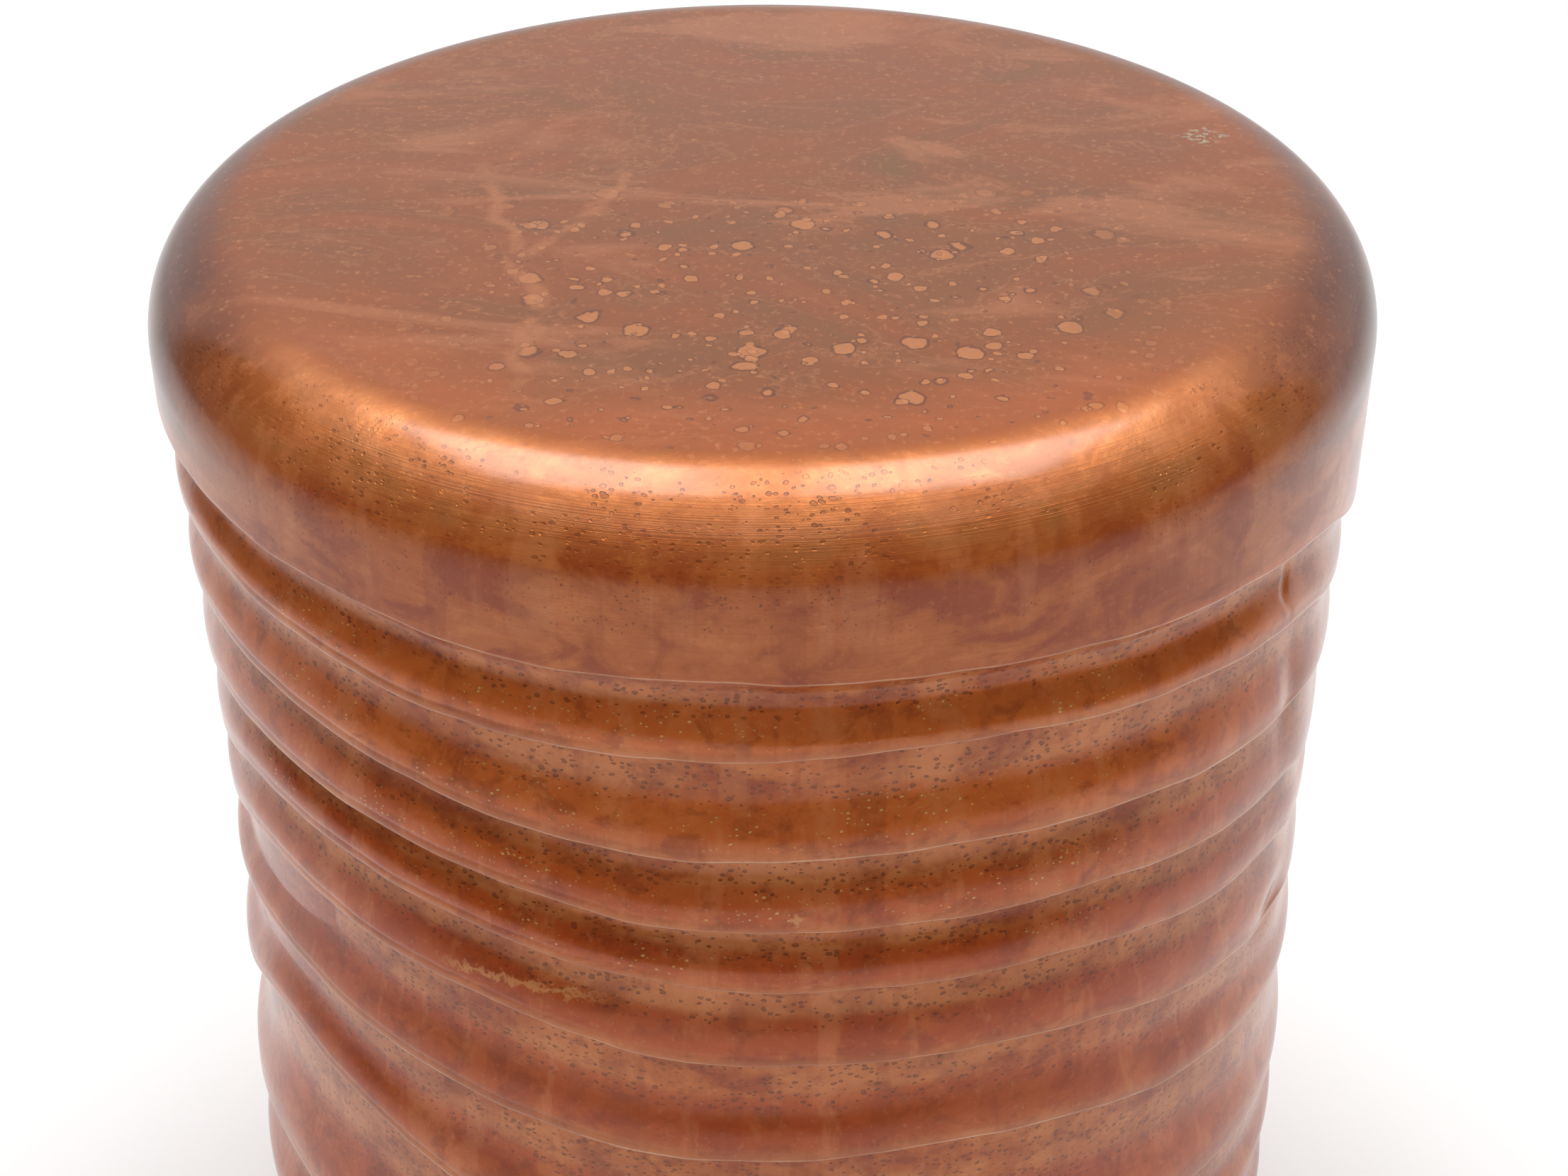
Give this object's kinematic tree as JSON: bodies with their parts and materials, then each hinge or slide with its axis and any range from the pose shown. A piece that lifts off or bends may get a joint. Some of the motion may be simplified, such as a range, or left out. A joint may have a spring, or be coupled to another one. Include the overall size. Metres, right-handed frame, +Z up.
{
  "type": "drum stool",
  "caption": "Cylindrical cast-metal drum stool or side table with a rounded flat top, wandering horizontal ribs around the side and levelling glides under a closed base.",
  "frame": {"origin": "on the floor, at the centre of the drum's footprint", "axes": "+Z up along the drum's axis, -Y towards the front that the picture shows, +X to its right"},
  "size_m": [0.38, 0.38, 0.46],
  "materials": {
    "patinated_casting": "antique copper patina, satin, pitted and streaked",
    "bare_strip": "mill finish",
    "base_sheet": "dark powder coat",
    "zinc_steel": "bright zinc plate",
    "insert_brass": "turned",
    "foot_plastic": "fine moulded grain",
    "pad_rubber": "matt, non-marking"
  },
  "bodies": {
    "drum": {"top_cap": "patinated_casting", "shoulder_ring": "patinated_casting", "body_shell": "patinated_casting", "backing_ring": "bare_strip", "base_ring": "bare_strip", "base_plate": "base_sheet", "base_screws": "zinc_steel", "base_washers": "zinc_steel", "glide_inserts": "insert_brass", "jam_nuts": "zinc_steel"},
    "glide_1": {"glide_stud_1": "zinc_steel", "glide_foot_1": "foot_plastic", "glide_pad_1": "pad_rubber"},
    "glide_2": {"glide_stud_2": "zinc_steel", "glide_foot_2": "foot_plastic", "glide_pad_2": "pad_rubber"},
    "glide_3": {"glide_stud_3": "zinc_steel", "glide_foot_3": "foot_plastic", "glide_pad_3": "pad_rubber"},
    "glide_4": {"glide_stud_4": "zinc_steel", "glide_foot_4": "foot_plastic", "glide_pad_4": "pad_rubber"}
  },
  "joints": [
    {"name": "glide_1_height", "type": "slide", "parent": "drum", "child": "glide_1", "axis": [0, 0, -1], "range_m": [0, 0.008]},
    {"name": "glide_2_height", "type": "slide", "parent": "drum", "child": "glide_2", "axis": [0, 0, -1], "range_m": [0, 0.008]},
    {"name": "glide_3_height", "type": "slide", "parent": "drum", "child": "glide_3", "axis": [0, 0, -1], "range_m": [0, 0.008]},
    {"name": "glide_4_height", "type": "slide", "parent": "drum", "child": "glide_4", "axis": [0, 0, -1], "range_m": [0, 0.008]}
  ]
}
